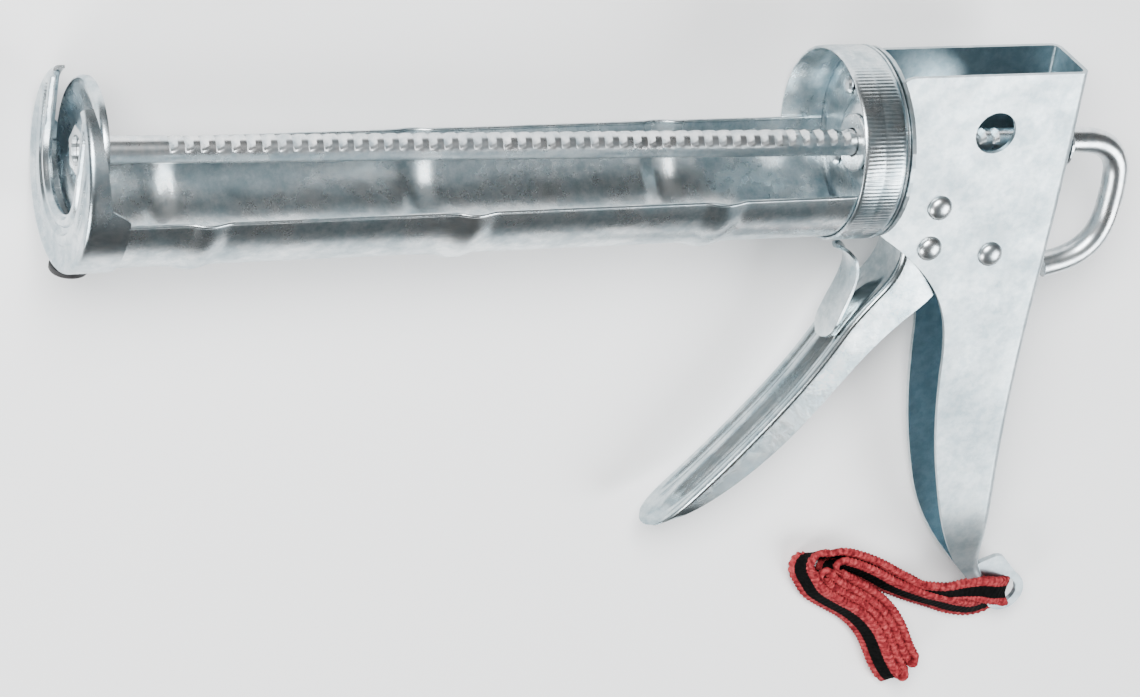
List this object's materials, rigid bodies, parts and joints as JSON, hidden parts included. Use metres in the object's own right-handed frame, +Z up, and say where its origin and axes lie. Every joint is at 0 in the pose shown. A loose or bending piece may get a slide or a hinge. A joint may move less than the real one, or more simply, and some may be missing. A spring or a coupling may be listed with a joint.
{
  "type": "caulking gun",
  "caption": "Half-barrel ratchet caulking gun of zinc-plated sheet steel, lying on its side, with a folded wrist strap.",
  "frame": {"origin": "on the table, under the middle of the gun's box without its strap", "axes": "+X from nozzle to handle along the barrel, +Z up from the table, square to the side the gun lies on; +Y from the handle's foot to the barrel"},
  "size_m": [0.3374, 0.2169, 0.057],
  "materials": {
    "zinc_sheet": "bright zinc plate, softly clouded",
    "zinc_plate": "zinc plate, satin, bluish",
    "bright_steel": "bright plated steel",
    "black_rubber": "matte black rubber",
    "red_webbing": "woven red webbing with a black centre stripe"
  },
  "bodies": {
    "root": {"collar_ring": "zinc_sheet", "collar_back_plate": "zinc_sheet", "mounting_flange": "zinc_sheet", "cradle": "zinc_sheet", "nozzle_cap": "zinc_sheet", "cap_foot": "black_rubber", "handle_frame": "zinc_plate", "near_upper_collar_rivet": "bright_steel", "near_lower_collar_rivet": "bright_steel", "far_upper_collar_rivet": "bright_steel", "far_lower_collar_rivet": "bright_steel", "front_guide_bush": "bright_steel", "rear_guide_bush": "bright_steel", "trigger_pivot_rivet": "bright_steel", "upper_rivet": "bright_steel", "rear_rivet": "bright_steel", "pivot_sleeve": "bright_steel", "upper_sleeve": "bright_steel", "rear_sleeve": "bright_steel", "trigger_return_spring": "bright_steel", "strap_eye": "zinc_plate", "strap_run": "red_webbing", "strap_bundle": "red_webbing"},
    "piston": {"piston_disc": "zinc_sheet"},
    "rod": {"ratchet_rod": "bright_steel", "front_nut": "bright_steel", "back_nut": "bright_steel"},
    "trigger": {"trigger": "zinc_sheet", "trigger_lip": "zinc_sheet", "pawl_pin": "bright_steel"},
    "pawl": {"drive_pawl": "bright_steel"}
  },
  "joints": [
    {"name": "piston_slide", "type": "slide", "parent": "root", "child": "piston", "axis": [0.9997, -0.0253, -0.0032], "range_m": [0, 0.215]},
    {"name": "rod_turn", "type": "hinge", "parent": "piston", "child": "rod", "pos_m": [0.07508, 0.06862, 0.02851], "axis": [-0.9997, 0.0253, 0.0032], "range_deg": [0, 180]},
    {"name": "trigger_squeeze", "type": "hinge", "parent": "root", "child": "trigger", "pos_m": [0.09978, 0.03817, 0.02461], "axis": [0, -0.1271, 0.9919], "range_deg": [0, 28], "stiffness_Nm_per_rad": 0.25, "springref_deg": -11.46},
    {"name": "pawl_swing", "type": "hinge", "parent": "trigger", "child": "pawl", "pos_m": [0.09368, 0.04888, 0.02598], "axis": [0, -0.1271, 0.9919], "range_deg": [-30, 2]}
  ],
  "couplings": [
    {"joint": "pawl_swing", "follows": "trigger_squeeze", "ratio": -1}
  ]
}
